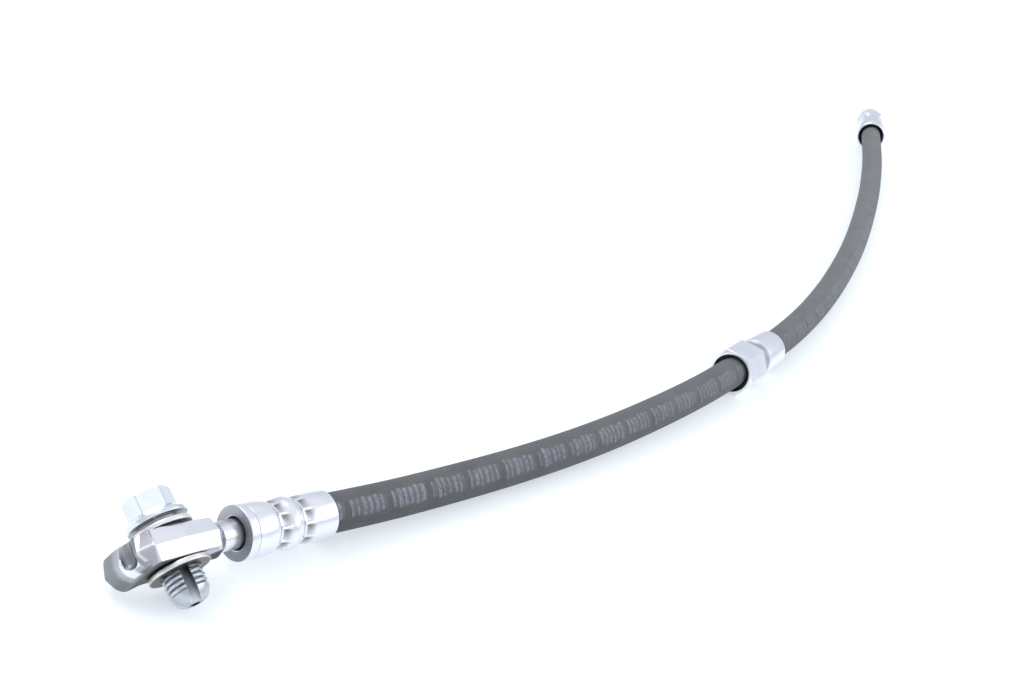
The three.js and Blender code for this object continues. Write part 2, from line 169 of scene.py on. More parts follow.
def soft_min(a, b, k):
    h = np.clip(0.5 + 0.5 * (b - a) / k, 0, 1)
    return b * (1 - h) + a * h - k * h * (1 - h)


def hex_radius(angles, across, turn=0.0, k=0.25):
    """Distance from the axis to a hexagon's flats in each direction."""
    near = np.abs((angles - turn) % (math.pi / 3) - math.pi / 6)
    first = across / 2 / np.cos(near)
    second = across / 2 / np.cos(math.pi / 3 - near)
    return soft_min(first, second, k)


def polar_mesh(name, rings, angles, matrix, along="x", loop=False, sharp=40):
    """A solid around an axis from rings of (place, radii)."""
    sides = len(angles)
    cos, sin = np.cos(angles), np.sin(angles)
    rows = []
    for place, radii in rings:
        radii = np.broadcast_to(radii, (sides,))
        flat = [np.full(sides, place), radii * cos, radii * sin]
        if along == "z":
            flat = [radii * cos, radii * sin, np.full(sides, place)]
        rows.append(np.stack(flat, 1))
    points = np.concatenate(rows)
    count = len(rings)
    index = np.arange(sides)
    ahead = (index + 1) % sides
    faces = []
    for row in range(count if loop else count - 1):
        a, b = row * sides, (row + 1) % count * sides
        faces += np.stack([a + index, a + ahead, b + ahead, b + index], 1).tolist()
    if not loop:
        faces.append(index[::-1].tolist())
        faces.append(((count - 1) * sides + index).tolist())
    return add_piece(name, points, faces, matrix, sharp)


def turned(profile, sides=96):
    angles = np.linspace(0, 2 * math.pi, sides, endpoint=False)
    return [(place, radius) for place, radius in profile], angles


def solid_of(piece, cutters=(), voxel=0.0, smooth=0, sharp=40):
    """The piece with the cutters taken out of it and, where asked, remeshed and eased."""
    for cutter in cutters:
        cut = piece.modifiers.new("cut", "BOOLEAN")
        cut.operation = "DIFFERENCE"
        cut.solver = "EXACT"
        cut.object = cutter
    if voxel:
        remesh = piece.modifiers.new("remesh", "REMESH")
        remesh.mode = "VOXEL"
        remesh.voxel_size = voxel * MM
        ease = piece.modifiers.new("ease", "SMOOTH")
        ease.factor = 0.5
        ease.iterations = smooth
    depsgraph = bpy.context.evaluated_depsgraph_get()
    made = bpy.data.meshes.new_from_object(piece.evaluated_get(depsgraph))
    piece.modifiers.clear()
    piece.data = made
    made.polygons.foreach_set("use_smooth", [True] * len(made.polygons))
    made.set_sharp_from_angle(angle=math.radians(sharp))
    for cutter in cutters:
        bpy.data.objects.remove(cutter)
    return piece


def box_at(name, centre, size, matrix):
    corners = [
        (centre[0] + x * size[0] / 2, centre[1] + y * size[1] / 2, centre[2] + z * size[2] / 2)
        for x in (-1, 1)
        for y in (-1, 1)
        for z in (-1, 1)
    ]
    faces = [(0, 1, 3, 2), (4, 6, 7, 5), (0, 4, 5, 1), (2, 3, 7, 6), (0, 2, 6, 4), (1, 5, 7, 3)]
    return add_piece(name, corners, faces, matrix)


def joined(name, pieces):
    """One mesh piece holding the faces of several."""
    points, faces, start = [], [], 0
    for piece in pieces:
        points += [tuple(v.co / MM) for v in piece.data.vertices]
        faces += [[start + v for v in face.vertices] for face in piece.data.polygons]
        start = len(points)
        bpy.data.objects.remove(piece)
    return add_piece(name, points, faces)


def set_painted_shade(piece, matrix, rule):
    """Painted shade and dullness on the plating at each point, from 0 to 1, by a rule on x, y and z in
    millimetres in the frame of a matrix."""
    data = piece.data
    points = np.empty(len(data.vertices) * 3)
    data.vertices.foreach_get("co", points)
    points = points.reshape(-1, 3) - np.array(matrix.translation)
    x, y, z = (points @ np.array(matrix.to_3x3())).T / MM
    # the attribute carries painted shade, which also makes the plating rougher
    layer = data.attributes.new("shade_and_dullness", "FLOAT", "POINT")
    layer.data.foreach_set("value", np.clip(rule(x, y, z), 0, 1).astype(np.float32))


def ramp(value, low, high):
    t = np.clip((value - low) / (high - low), 0, 1)
    return t * t * (3 - 2 * t)


# Materials

class Paint:
    """A procedural material under construction."""

    def __init__(self, name, roughness, metallic=0.0):
        self.material = bpy.data.materials.new(name)
        self.material.use_nodes = True
        self.tree = self.material.node_tree
        self.shader = self.tree.nodes["Principled BSDF"]
        self.shader.inputs["Metallic"].default_value = metallic
        self.shader.inputs["Roughness"].default_value = roughness

    def node(self, kind, **settings):
        made = self.tree.nodes.new(kind)
        for key, value in settings.items():
            if hasattr(made, key):
                setattr(made, key, value)
            else:
                made.inputs[key].default_value = value
        return made

    def link(self, source, target):
        self.tree.links.new(source, target)
        return self

    def noise(self, scale, detail=3.0, stretch=(1, 1, 1)):
        """Noise on the piece's own coordinates, with scale in waves per metre."""
        place = self.node("ShaderNodeTexCoord")
        mapping = self.node("ShaderNodeMapping")
        mapping.inputs["Scale"].default_value = stretch
        made = self.node("ShaderNodeTexNoise", Scale=scale, Detail=detail)
        self.link(place.outputs["Object"], mapping.inputs["Vector"])
        self.link(mapping.outputs["Vector"], made.inputs["Vector"])
        return made.outputs["Fac"]

    def range(self, value, low, high, to_low, to_high):
        made = self.node("ShaderNodeMapRange")
        for key, number in zip(("From Min", "From Max", "To Min", "To Max"), (low, high, to_low, to_high)):
            made.inputs[key].default_value = number
        self.link(value, made.inputs["Value"])
        return made.outputs["Result"]

    def math(self, operation, a, b):
        made = self.node("ShaderNodeMath", operation=operation)
        for socket, value in zip(made.inputs, (a, b)):
            if isinstance(value, (int, float)):
                socket.default_value = value
            else:
                self.link(value, socket)
        return made.outputs["Value"]

    def mix(self, factor, a, b):
        made = self.node("ShaderNodeMix", data_type="RGBA")
        for key, value in ((0, factor), (6, a), (7, b)):
            if isinstance(value, tuple):
                made.inputs[key].default_value = (*value, 1)
            elif isinstance(value, (int, float)):
                made.inputs[key].default_value = value
            else:
                self.link(value, made.inputs[key])
        return made.outputs[2]

    def edges(self, low, high):
        shape = self.node("ShaderNodeNewGeometry")
        return self.range(shape.outputs["Pointiness"], low, high, 0, 1)

    def colour(self, socket):
        return self.link(socket, self.shader.inputs["Base Color"])

    def rough(self, socket):
        return self.link(socket, self.shader.inputs["Roughness"])

    def bump(self, *layers):
        """Bump from (height, distance in metres) layers."""
        normal = None
        for height, distance in layers:
            made = self.node("ShaderNodeBump", Distance=distance)
            self.link(height, made.inputs["Height"])
            if normal is not None:
                self.link(normal, made.inputs["Normal"])
            normal = made.outputs["Normal"]
        return self.link(normal, self.shader.inputs["Normal"])


def plated_steel(name, colour, shade, roughness, peel):
    """Bright zinc plating: cloudy tint, uneven gloss, cast or turned texture, lighter edges that are partly wear
    and partly painted highlight, and darker creases that are partly dirt and partly painted shade.
    Where the painted shade attribute rises it turns to a near black, rougher steel."""
    paint = Paint(name, roughness, metallic=1.0)
    cloud = paint.range(paint.noise(180, 4), 0.35, 0.68, 0, 1)
    fine = paint.noise(2600, 5)
    shade_and_dullness = paint.node("ShaderNodeAttribute", attribute_name="shade_and_dullness").outputs["Fac"]
    base = paint.mix(cloud, colour, shade)
    # painted shade: the plating darkens towards near black where the attribute rises
    base = paint.mix(shade_and_dullness, base, (0.04, 0.04, 0.045))
    # lighter sharp edges, partly edge wear and partly painted highlight, kept off the painted shade
    bright = paint.math("MULTIPLY", paint.edges(0.52, 0.6), paint.range(shade_and_dullness, 0.3, 0.7, 1, 0))
    edge_wear_and_highlight = paint.mix(bright, base, (0.88, 0.89, 0.92))
    # darker concave creases, partly dirt and partly painted shade
    crease_dirt_and_shade = paint.mix(paint.edges(0.47, 0.38), edge_wear_and_highlight, tuple(0.45 * c for c in shade))
    paint.colour(crease_dirt_and_shade)
    uneven = paint.range(fine, 0.3, 0.7, roughness - 0.01, roughness + 0.02)
    paint.rough(paint.math("ADD", uneven, paint.math("MULTIPLY", shade_and_dullness, 0.2)))
    paint.bump((paint.noise(600, 3), peel), (fine, 0.0000003))
    return paint.material


def washer_metal():
    paint = Paint("washer_metal", 0.42, metallic=1.0)
    cloud = paint.range(paint.noise(500, 4), 0.35, 0.65, 0, 1)
    base = paint.mix(cloud, (0.84, 0.82, 0.79), (0.76, 0.74, 0.69))
    shade_and_dullness = paint.node("ShaderNodeAttribute", attribute_name="shade_and_dullness").outputs["Fac"]
    # painted shade on the washer's underside, where the attribute rises
    base = paint.mix(shade_and_dullness, base, (0.09, 0.086, 0.082))
    # lighter sharp edges, partly wear and partly painted highlight
    paint.colour(paint.mix(paint.edges(0.51, 0.57), base, (0.95, 0.93, 0.9)))
    paint.rough(paint.range(paint.noise(3200, 5), 0.3, 0.7, 0.3, 0.5))
    paint.bump((paint.noise(1800, 4), 0.00002))
    return paint.material


def hose_rubber():
    """Matt extruded rubber with fine lengthwise draw lines and a row of plain print bars."""
    paint = Paint("hose_rubber_matt", 0.62)
    paint.shader.inputs["Specular IOR Level"].default_value = 0.4
    place = paint.node("ShaderNodeTexCoord")
    split = paint.node("ShaderNodeSeparateXYZ")
    paint.link(place.outputs["UV"], split.inputs["Vector"])
    along, around = split.outputs["X"], split.outputs["Y"]
    cloud = paint.range(paint.noise(120, 4), 0.3, 0.7, 0, 1)
    # random cloud, and lighter towards the far end of the hose
    cloud_and_far_lightening = paint.math("ADD", paint.math("MULTIPLY", cloud, 0.25), paint.range(along, 0, 0.8, 0, 0.75))
    base = paint.mix(cloud_and_far_lightening, (0.078, 0.081, 0.081), (0.18, 0.185, 0.187))
    dust = paint.range(paint.noise(1500, 4), 0.55, 0.75, 0, 0.25)
    base = paint.mix(dust, base, (0.2, 0.21, 0.215))
    mask = print_bars(paint, along, around)
    paint.colour(paint.mix(mask, base, (0.30, 0.30, 0.36)))
    paint.rough(paint.range(paint.noise(900, 4), 0.3, 0.7, 0.55, 0.75))
    lines = paint.node("ShaderNodeCombineXYZ")
    paint.link(paint.math("MULTIPLY", along, 4.0), lines.inputs["X"])
    paint.link(paint.math("MULTIPLY", around, 150.0), lines.inputs["Y"])
    drawn = paint.node("ShaderNodeTexNoise", Scale=1.0, Detail=3.0)
    paint.link(lines.outputs["Vector"], drawn.inputs["Vector"])
    paint.bump((drawn.outputs["Fac"], 0.00003), (paint.noise(1800, 4), 0.00003))
    return paint.material


def print_bars(paint, along, around):
    """Plain upright bars of uneven width and height in groups, worn thin in places."""
    distance = paint.math("MULTIPLY", along, HOSE_LENGTH / MM)
    steps = paint.math("DIVIDE", distance, 2.1)
    cell = paint.node("ShaderNodeCombineXYZ")
    paint.link(paint.math("FLOOR", steps, 0), cell.inputs["X"])
    chance = paint.node("ShaderNodeTexWhiteNoise", noise_dimensions="3D")
    paint.link(cell.outputs["Vector"], chance.inputs["Vector"])
    within = paint.math("FRACT", steps, 0)
    width = paint.range(chance.outputs["Value"], 0, 1, 0.3, 0.75)
    bar = paint.range(paint.math("SUBTRACT", within, width), 0.08, -0.08, 0, 1)
    bar = paint.range(paint.math("MULTIPLY", bar, paint.range(within, 0.0, 0.12, 0, 1)), 0, 1, 0.25, 1)
    group = paint.math("LESS_THAN", paint.math("FRACT", paint.math("DIVIDE", distance, 14.7), 0), 0.86)
    side = paint.math("ABSOLUTE", paint.math("SUBTRACT", around, PRINT_SIDE), 0)
    tint = paint.node("ShaderNodeSeparateColor")
    paint.link(chance.outputs["Color"], tint.inputs["Color"])
    reach = paint.range(tint.outputs["Green"], 0, 1, 0.06, 0.09)
    high = paint.range(paint.math("SUBTRACT", side, reach), 0.008, -0.008, 0, 1)
    worn = paint.range(paint.noise(1100, 3), 0.40, 0.62, 0.8, 0.3)
    first = paint.math("LESS_THAN", distance, 470)
    mask = paint.math("MULTIPLY", paint.math("MULTIPLY", bar, group), paint.math("MULTIPLY", high, first))
    faded = paint.math("MULTIPLY", worn, paint.range(distance, 60, 260, 1, 0.5))
    return paint.math("MULTIPLY", mask, faded)


def liner_rubber():
    paint = Paint("liner_rubber_smooth", 0.5)
    cloud = paint.range(paint.noise(400, 4), 0.3, 0.7, 0, 1)
    paint.colour(paint.mix(cloud, (0.025, 0.025, 0.026), (0.045, 0.045, 0.046)))
    paint.bump((paint.noise(2000, 3), 0.00002))
    return paint.material


def braid_textile():
    paint = Paint("braid_textile", 0.9)
    weave = paint.noise(1600, 2, (1, 0.3, 0.3))
    cross = paint.noise(1600, 2, (0.3, 1, 1))
    paint.colour(paint.mix(paint.range(weave, 0.4, 0.6, 0, 1), (0.5, 0.45, 0.34), (0.72, 0.67, 0.54)))
    paint.bump((weave, 0.00015), (cross, 0.00015))
    return paint.material


# Pieces

def hose_cover():
    """The outer layer of the hose, a thick-walled tube on its route."""
    stations, sides = 640, 44
    line, places = even(centripetal(HOSE_ROUTE, 60), stations)
    ahead = np.gradient(line, axis=0)
    ahead /= np.linalg.norm(ahead, axis=1)[:, None]
    up = np.array([0, 0, 1.0]) - ahead * ahead[:, 2:]
    up /= np.linalg.norm(up, axis=1)[:, None]
    side = np.cross(ahead, up)
    turns = np.linspace(0, 2 * math.pi, sides, endpoint=False)
    rings = []
    for radius in (HOSE_RADIUS, HOSE_BORE):
        spread = up[:, None] * np.cos(turns)[None, :, None] + side[:, None] * np.sin(turns)[None, :, None]
        rings.append((line[:, None] / MM + radius * spread).reshape(-1, 3))
    faces, uvs = [], []
    inner = stations * sides
    for s in range(stations - 1):
        u0, u1 = places[s] / places[-1], places[s + 1] / places[-1]
        for k in range(sides):
            a, b = s * sides + k, s * sides + (k + 1) % sides
            v0, v1 = k / sides, (k + 1) / sides
            faces.append((a, b, b + sides, a + sides))
            uvs += [(u0, v0), (u0, v1), (u1, v1), (u1, v0)]
            faces.append((inner + a, inner + a + sides, inner + b + sides, inner + b))
            uvs += [(u0, v0), (u1, v0), (u1, v1), (u0, v1)]
    for s, turn in ((0, 1), (stations - 1, -1)):
        for k in range(sides):
            a, b = s * sides + k, s * sides + (k + 1) % sides
            faces.append((a, inner + a, inner + b, b)[::turn])
            uvs += [(s / (stations - 1), k / sides)] * 4
    piece = add_piece("hose_cover_tube", np.concatenate(rings), faces, uvs=uvs)
    return piece, line


make_camera()

fine_line = centripetal(HOSE_ROUTE, 200)
HOSE_LENGTH = float(np.linalg.norm(np.diff(fine_line, axis=0), axis=1).sum())
PRINT_SIDE = 0.136

steel = plated_steel("zinc_bright", (0.86, 0.87, 0.91), (0.80, 0.81, 0.86), 0.28, 0.00001)
bolt_steel = plated_steel("zinc_bolt", (0.77, 0.81, 0.85), (0.72, 0.76, 0.81), 0.26, 0.000005)
soft_metal = washer_metal()
rubber = hose_rubber()
dark_rubber = liner_rubber()
textile = braid_textile()

cover, cover_line = hose_cover()
cover.data.materials.append(rubber)
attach(cover, "root")
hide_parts("hose_cover")

for name, material in (
    ("hose_liner", dark_rubber),
    ("hose_braid_inner", textile),
    ("hose_middle_layer", dark_rubber),
    ("hose_braid_outer", textile),
):
    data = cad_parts[name].data
    data.materials.clear()
    data.materials.append(material)

start = Vector(HOSE_ROUTE[0])
banjo_ahead = (Vector(HOSE_ROUTE[1]) - start).normalized()
BEND_BEHIND = 6.7
NECK_REACH = 16
NECK_BEND = 2.9
ferrule_frame = frame_at(start - banjo_ahead * BEND_BEHIND * MM, banjo_ahead, 59.4)
bend = math.radians(NECK_BEND)
eye_frame = (
    ferrule_frame
    @ Matrix.Translation(Vector((-math.cos(bend), 0, -math.sin(bend))) * NECK_REACH * MM)
    @ Matrix.Rotation(-bend, 4, "Y")
)


def inset(plan, distance):
    out = []
    for before, point, after in zip(plan[-1:] + plan[:-1], plan, plan[1:] + plan[:1]):
        into = Vector((point[0] - before[0], point[1] - before[1])).normalized()
        away = Vector((after[0] - point[0], after[1] - point[1])).normalized()
        reach = distance / (1 + into.dot(away))
        out.append((point[0] - (into.y + away.y) * reach, point[1] + (into.x + away.x) * reach))
    return out


NOTCH_PLACE = (-13.0, -1.75, -0.25)
NOTCH_RADIUS = 2.1


def banjo_forging():
    """Eye, locating nose, neck and nipple in one forging with eased edges."""
    plan = [
        (-8.8, -7.5), (0, -7.5), (10.3, -6.4), (12, -4.7), (12, 4.7), (10.3, 6.4), (0, 7.5),
        (-6.6, 7.5), (-8.8, 9.4), (-10.9, 9.4), (-12.5, 8.6), (-13.3, 7.1), (-13.4, 5.5), (-13.4, 2.2),
        (-11.6, -4.81), (-10.7, -5.6),
    ]
    rings = [(1.1, -4.1, 0.9), (0.75, -2.9, -0.2), (0.0, 0.0, -0.7), (0.77, 2.9, -0.6), (1.1, 4.1, -0.4)]
    points = []
    for narrower, height, back in rings:
        for x, y in inset(plan, narrower):
            front = min(max(x / 12, 0), 1)
            nose_end = back * float(ramp(-x, 9.5, 10.8))
            points.append((x + nose_end, y, height - math.copysign(0.5 * front, height) * (height != 0)))
    count = len(plan)
    top = (len(rings) - 1) * count
    faces = [tuple(range(count))[::-1], tuple(range(top, top + count))]
    for ring in range(0, top, count):
        for k in range(count):
            a, b = ring + k, ring + (k + 1) % count
            faces.append((a, b, b + count, a + count))
    block = add_piece("block", points, faces, eye_frame)
    rings, angles = turned(
        [(6.15, 0.01), (6.15, 3.5), (11.4, 4.7), (13.2, 3.6), (16, 3.72), (17, 3.2), (17, 0.01)], 64
    )
    neck = polar_mesh("neck", rings, angles, eye_frame)
    rings, angles = turned(
        [
            (-0.6, 0.01), (-0.6, 3.5), (0, 3.72), (4.9, 3.72), (4.9, 4.7), (6.4, 4.7), (6.4, 1.25), (27.4, 1.25),
            (27.4, 0.01),
        ],
        64,
    )
    tail = polar_mesh("tail", rings, angles, ferrule_frame)
    rings, angles = turned([(-9, 5.15), (9, 5.15)], 80)
    bore = polar_mesh("bore", rings, angles, eye_frame, along="z")
    foot = [(-NOTCH_RADIUS * math.cos(t), NOTCH_RADIUS * math.sin(t) + 0.01) for t in np.linspace(0, 1.5, 12)]
    rings, angles = turned(foot + [(0, NOTCH_RADIUS), (6, NOTCH_RADIUS), (6, 0.01)], 64)
    notch_frame = eye_frame @ Matrix.Translation(Vector(NOTCH_PLACE) * MM)
    notch = polar_mesh("notch", rings, angles, notch_frame, along="z")
    whole = joined("banjo_forging", [block, neck, tail])
    whole = solid_of(whole, voxel=0.2, smooth=0)
    whole = solid_of(whole, [bore, notch])
    whole = solid_of(whole, voxel=0.17, smooth=5, sharp=75)
    points = np.array([v.co for v in whole.data.vertices]) - np.array(eye_frame.translation)
    behind = -(points @ np.array(eye_frame.to_3x3()))[:, 0] / MM
    worn = whole.vertex_groups.new(name="worn")
    for index, weight in enumerate(ramp(behind, 8.5, 11.0)):
        if weight > 0:
            worn.add([index], float(weight), "REPLACE")
    ease = whole.modifiers.new("ease", "SMOOTH")
    ease.factor = 0.5
    ease.iterations = 8
    ease.vertex_group = "worn"
    return solid_of(whole, sharp=75)


def forging_painted_shade(x, y, z):
    """Painted shade on the nose, its notch and its corner facet, except for a bright rim beside and below the
    notch, and painted shade under the eye, at the neck's root and on the neck's top.
    """
    end = ramp(-x, 9.0, 10.2)
    rim = 0.5 + 0.6 * np.exp(-(((z + 1.8) / 1.5) ** 2))
    outer = 0.46 * ramp(y - rim, 0.1, 0.5) + 0.24 * ramp(y - rim, 0.9, 2.9) + 0.05 * ramp(-z, 1.5, 3.0)
    crease = 4.66 + 0.06 * (z + 2.4)
    half = 0.12 + 0.06 * np.maximum(z + 2.4, 0)
    beside = 0.66 * ramp(-y, 3.3, 3.6) * ramp(y + crease - half, -0.15, 0)
    nose = np.maximum(outer, beside)
    low = ramp(-z, 2.2, 2.6)
    nose = np.maximum(nose, low * ramp(-y, 0.7, 2.0) * (0.52 + 0.3 * ramp(-z, 3.0, 3.8)))
    across, aside, rise = x - NOTCH_PLACE[0], y - NOTCH_PLACE[1], np.minimum(z - NOTCH_PLACE[2], 0)
    face = -14.0 + 0.257 * np.maximum(2.2 - y, 0)
    sunk = (np.sqrt(across**2 + aside**2 + rise**2) < NOTCH_RADIUS + 0.2) & (x > face + 0.35)
    depth = 0.74 + 0.12 * ramp(-aside, -0.4, 1.4) * ramp(-z, -1.5, 1.2) - 0.12 * ramp(z, 1.0, 3.5)
    nose = np.where(sunk, depth, nose) * end
    corner = (0.4 + 0.3 * ramp(z, 0.2, 1.0)) * ramp(-x + 0.25 * np.maximum(z, 0), 8.6, 9.2)
    corner = corner * ramp(-y + 0.12 * z - crease - half, 0, 0.15)
    # painted shade under the eye beside the lower washer, at the neck's root and on the neck's top
    under = (0.6 + 0.32 * ramp(x, -11.5, -8.5)) * ramp(-z, 3.6, 4.0)
    root = 0.85 * ramp(x, 17.2, 18.5)
    neck = 0.3 * ramp(x, 12.2, 13.0) * ramp(z * math.sin(1.92) + y * math.cos(1.92), 1.7, 2.9)
    return np.max([nose, corner, under, root, neck], axis=0)


forging = banjo_forging()
set_painted_shade(forging, eye_frame, forging_painted_shade)
forging.data.materials.clear()
forging.data.materials.append(steel)
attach(forging, "root")
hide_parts("banjo_body")


# Bolt: head and shank in one turned and milled piece


SLOT_TURN = math.radians(-25)


def banjo_bolt():
    sides = 168
    angles = np.linspace(0, 2 * math.pi, sides, endpoint=False)
    pitch = 1.25
    depth = 0.62
    rings = [(-13.72, 0.01), (-13.7, 1.2), (-13.6, 2.2), (-13.48, 2.7), (-13.3, 3.1)]
    phase = angles / (2 * math.pi)
    for place in np.arange(-13.13, -3.0, 0.13):
        wave = (place / pitch - phase) % 1.0
        flank = np.clip((np.abs(wave - 0.5) - 0.2) / 0.26, 0, 1)
        flank = flank * flank * (3 - 2 * flank) * 0.5 + flank * 0.5
        radii = 4.85 - depth * flank * ramp(place, -11.6, -10.3)
        cone = 4.85 * math.sqrt(1 - (max(-place - 9.6, 0) / 4.9) ** 2)
        rings.append((place, soft_min(radii, np.full(sides, cone), 0.1)))
    rings += [(-2.9, 4.6), (-2.7, 4.85)]
    skirt = rounded([(6.5, 4.85), (6.95, 4.85), (6.95, 7.4), (7.95, 7.4), (9.25, 5.947)], 0.18)
    rings += [(p, r) for p, r in skirt[:-1]]
    hexagon = hex_radius(angles, 10.3, math.radians(-29), 0.16)
    rings.append((9.2, np.maximum(hexagon + 0.06, 5.98)))
    rings.append((9.25, hexagon + 0.02))
    for place in np.concatenate([np.linspace(9.4, 13.6, 6), np.linspace(13.72, 14.4, 12)]):
        crown = 6.247 - (place - 13.75) / 0.7 * 1.797
        rings.append((place, soft_min(hexagon, np.full(sides, crown), 0.2)))
    rings += [(14.45, 4.3), (14.45, 4.0), (14.45, 0.01)]
    bolt = polar_mesh("bolt_dressed", rings, angles, eye_frame, along="z", sharp=35)
    slot_frame = eye_frame @ Matrix.Rotation(SLOT_TURN, 4, "Z")
    slot = box_at("slot", (0, -4.85, -6.55 - 5.65), (2.3, 5.6, 13.1), slot_frame)
    drill_rings, drill_angles = turned([(-14.1, 1.1), (-13.4, 1.1), (-0.6, 1.1), (0.2, 0.05)], 40)
    drill = polar_mesh("drill", drill_rings, drill_angles, eye_frame, along="z")
    return solid_of(bolt, [slot, drill], sharp=35)


def bolt_painted_shade(x, y, z):
    """The thread is a little darker all over; painted shade lies in its grooves and over its upper end, on the
    tip's dome, in the slot, in the bore and on the shank up to the head.
    """
    radius = np.hypot(x, y)
    shank = ramp(-z, 4.0, 5.0)
    thread = 0.2 + 0.5 * ramp(4.85 - radius, 0.3, 0.55) * ramp(z, -10.6, -10.2)
    thread = np.maximum(thread, 0.75 * ramp(z, -7.2, -6.0))
    across = x * math.cos(SLOT_TURN) + y * math.sin(SLOT_TURN)
    inward = y * math.cos(SLOT_TURN) - x * math.sin(SLOT_TURN)
    tip = 4.85 * np.sqrt(1 - (np.clip(-z - 9.6, 0, 4.8) / 4.9) ** 2)
    cut = (np.abs(across) < 1.2) & (inward < -1.9) & (radius < np.minimum(tip - 0.15, 4.2))
    thread = np.maximum(thread, 0.32 * ramp(-z, 10.4, 11.2))
    slot = (0.5 + 0.45 * ramp(z, -9.5, -6.5)) * cut
    bore = 0.95 * ramp(1.25 - radius, 0, 0.08)
    # painted shade on the shank and the head's underside in the gaps between the eye, the washers and the head
    gap = 0.45 * ramp(z, -5.0, -4.0) * ramp(-z, -7.02, -6.96) * ramp(7.35 - radius, 0, 0.1)
    return np.maximum(shank * np.maximum(np.maximum(thread, slot), bore), gap)


bolt = banjo_bolt()
set_painted_shade(bolt, eye_frame, bolt_painted_shade)
bolt.data.materials.clear()
bolt.data.materials.append(bolt_steel)
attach(bolt, "root")
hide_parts("banjo_bolt")


def seal_washer(name, low):
    outline = [
        (low + 0.6, 5.15), (low, 5.15), (low, 7.5), (low + 1.2, 7.5), (low + 1.2, 5.15), (low + 0.6, 5.15),
    ]
    rings, angles = turned(rounded(outline, 0.3)[:-1], 120)
    return polar_mesh(name, rings, angles, eye_frame, along="z", loop=True)


for name, node, low in (
    ("washer_above", "seal_washer_upper", 4.45),
    ("washer_below", "seal_washer_lower", -5.65),
):
    washer = seal_washer(name, low)
    # painted shade on the washer's flat underside
    set_painted_shade(washer, eye_frame, lambda x, y, z: ramp(low + 0.12 - z, 0, 0.08))
    washer.data.materials.append(soft_metal)
    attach(washer, "root")
    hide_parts(node)


# Crimped ferrules
def crimp_dip(place, crimps):
    """How deep the jaws press at each place, from 0 to 1: a short drop, a floor and a long rise."""
    dip = 0.0
    for crimp in crimps:
        dip = max(dip, np.interp(place - crimp, (-2.2, -1.6, -0.2, 2.8), (0, 1, 1, 0)))
    return dip * dip * (3 - 2 * dip)


def crimped(rings, angles, crimps, depth, jaws, turn=0.0):
    """Pockets between narrow ribs, as the jaws of a press leave them."""
    pressed = []
    part = 2 * math.pi / jaws
    off = np.abs((angles - turn) % part - part / 2)
    rib = np.exp(-(((part / 2 - off) / 0.09) ** 2))
    for place, radii in rings:
        radii = np.broadcast_to(radii, angles.shape).astype(float)
        flat = (radii - depth) * math.cos(part / 2) / np.cos(off) + 0.12
        target = np.maximum(flat + rib * (radii - flat) * 0.6, 5.6)
        pressed.append((place, radii + (np.minimum(target, radii) - radii) * crimp_dip(place, crimps)))
    return pressed


def fine_profile(profile, reach, start, end, step):
    """A rounded profile with extra even places between start and end."""
    out = []
    points = rounded(profile, reach)
    for a, b in zip(points, points[1:]):
        out.append(a)
        if a[0] >= start and b[0] <= end and b[0] - a[0] > step:
            for t in np.linspace(0, 1, int((b[0] - a[0]) / step) + 2)[1:-1]:
                out.append((a[0] + (b[0] - a[0]) * t, a[1] + (b[1] - a[1]) * t))
    out.append(points[-1])
    return out


FERRULE_CRIMPS = (11.2, 18.7)
FERRULE_JAWS = 10
FERRULE_TURN = math.radians(31)


def banjo_ferrule():
    angles = np.linspace(0, 2 * math.pi, 176, endpoint=False)
    outside = fine_profile(
        [
            (0.9, 3.95), (0.3, 3.95), (0, 4.25), (0, 6.9), (2.5, 6.9), (2.6, 6.6), (2.75, 6.8), (6.2, 6.8),
            (8.3, 6.65), (9.4, 6.3), (13.2, 6.35), (14.9, 6.7), (16.6, 6.3), (21.2, 6.2), (24, 6.35), (28, 6.35),
            (28, 5.6),
        ],
        0.35,
        6.4,
        21,
        0.16,
    )
    rings = crimped(outside, angles, FERRULE_CRIMPS, 0.85, FERRULE_JAWS, FERRULE_TURN)
    inside = rounded([(28, 5.6), (28, 5.3), (27.3, 5.26), (1.8, 5.26), (1.8, 3.95), (0.9, 3.95)], 0.1)
    rings += [(p, r) for p, r in inside[1:-1]]
    place = ferrule_frame @ Matrix.Translation((2.8 * MM, 0, 0))
    return polar_mesh("ferrule_crimped", rings, angles, place, loop=True, sharp=50)


def ferrule_painted_shade(x, y, z):
    """Painted shade on the cut face, lighter towards its top, on the inside, in the step groove, on the floor of
    each jaw mark and on the shaded side of each jaw mark, darkest just below its upper rib.
    """
    radius, angle = np.hypot(y, z), np.arctan2(z, y)
    top = ramp(z * math.sin(1.92) + y * math.cos(1.92), 1.5, 6.0)
    shade_and_dullness = (0.72 - 0.2 * top) * ramp(-x, -0.12, -0.04) * ramp(radius, 4.28, 4.4)
    shade_and_dullness = np.maximum(shade_and_dullness, ramp(5.4 - radius, 0, 0.1) * ramp(x, 0.5, 1.0))
    shade_and_dullness = np.maximum(shade_and_dullness, 0.5 * ramp(x, 2.46, 2.56) * ramp(-x, -2.82, -2.68))
    part = 2 * math.pi / FERRULE_JAWS
    down = (angle - FERRULE_TURN) % part / part
    open_side = ramp(down, 0.07, 0.16) * ramp(-down, -0.97, -0.85)
    # painted shade on each jaw mark's floor and on its shaded side, darkest just below the upper rib
    for crimp in FERRULE_CRIMPS:
        rise = ramp(x, crimp - 0.7, crimp - 0.4) * ramp(-x, -crimp - 2.6, -crimp - 0.4)
        floor = ramp(x, crimp - 2.1, crimp - 1.7) * ramp(-x, -crimp + 1.0, -crimp + 1.4)
        shade_and_dullness = np.maximum(shade_and_dullness, np.maximum(rise * open_side * (0.92 - 0.7 * down), 0.55 * floor))
    return shade_and_dullness


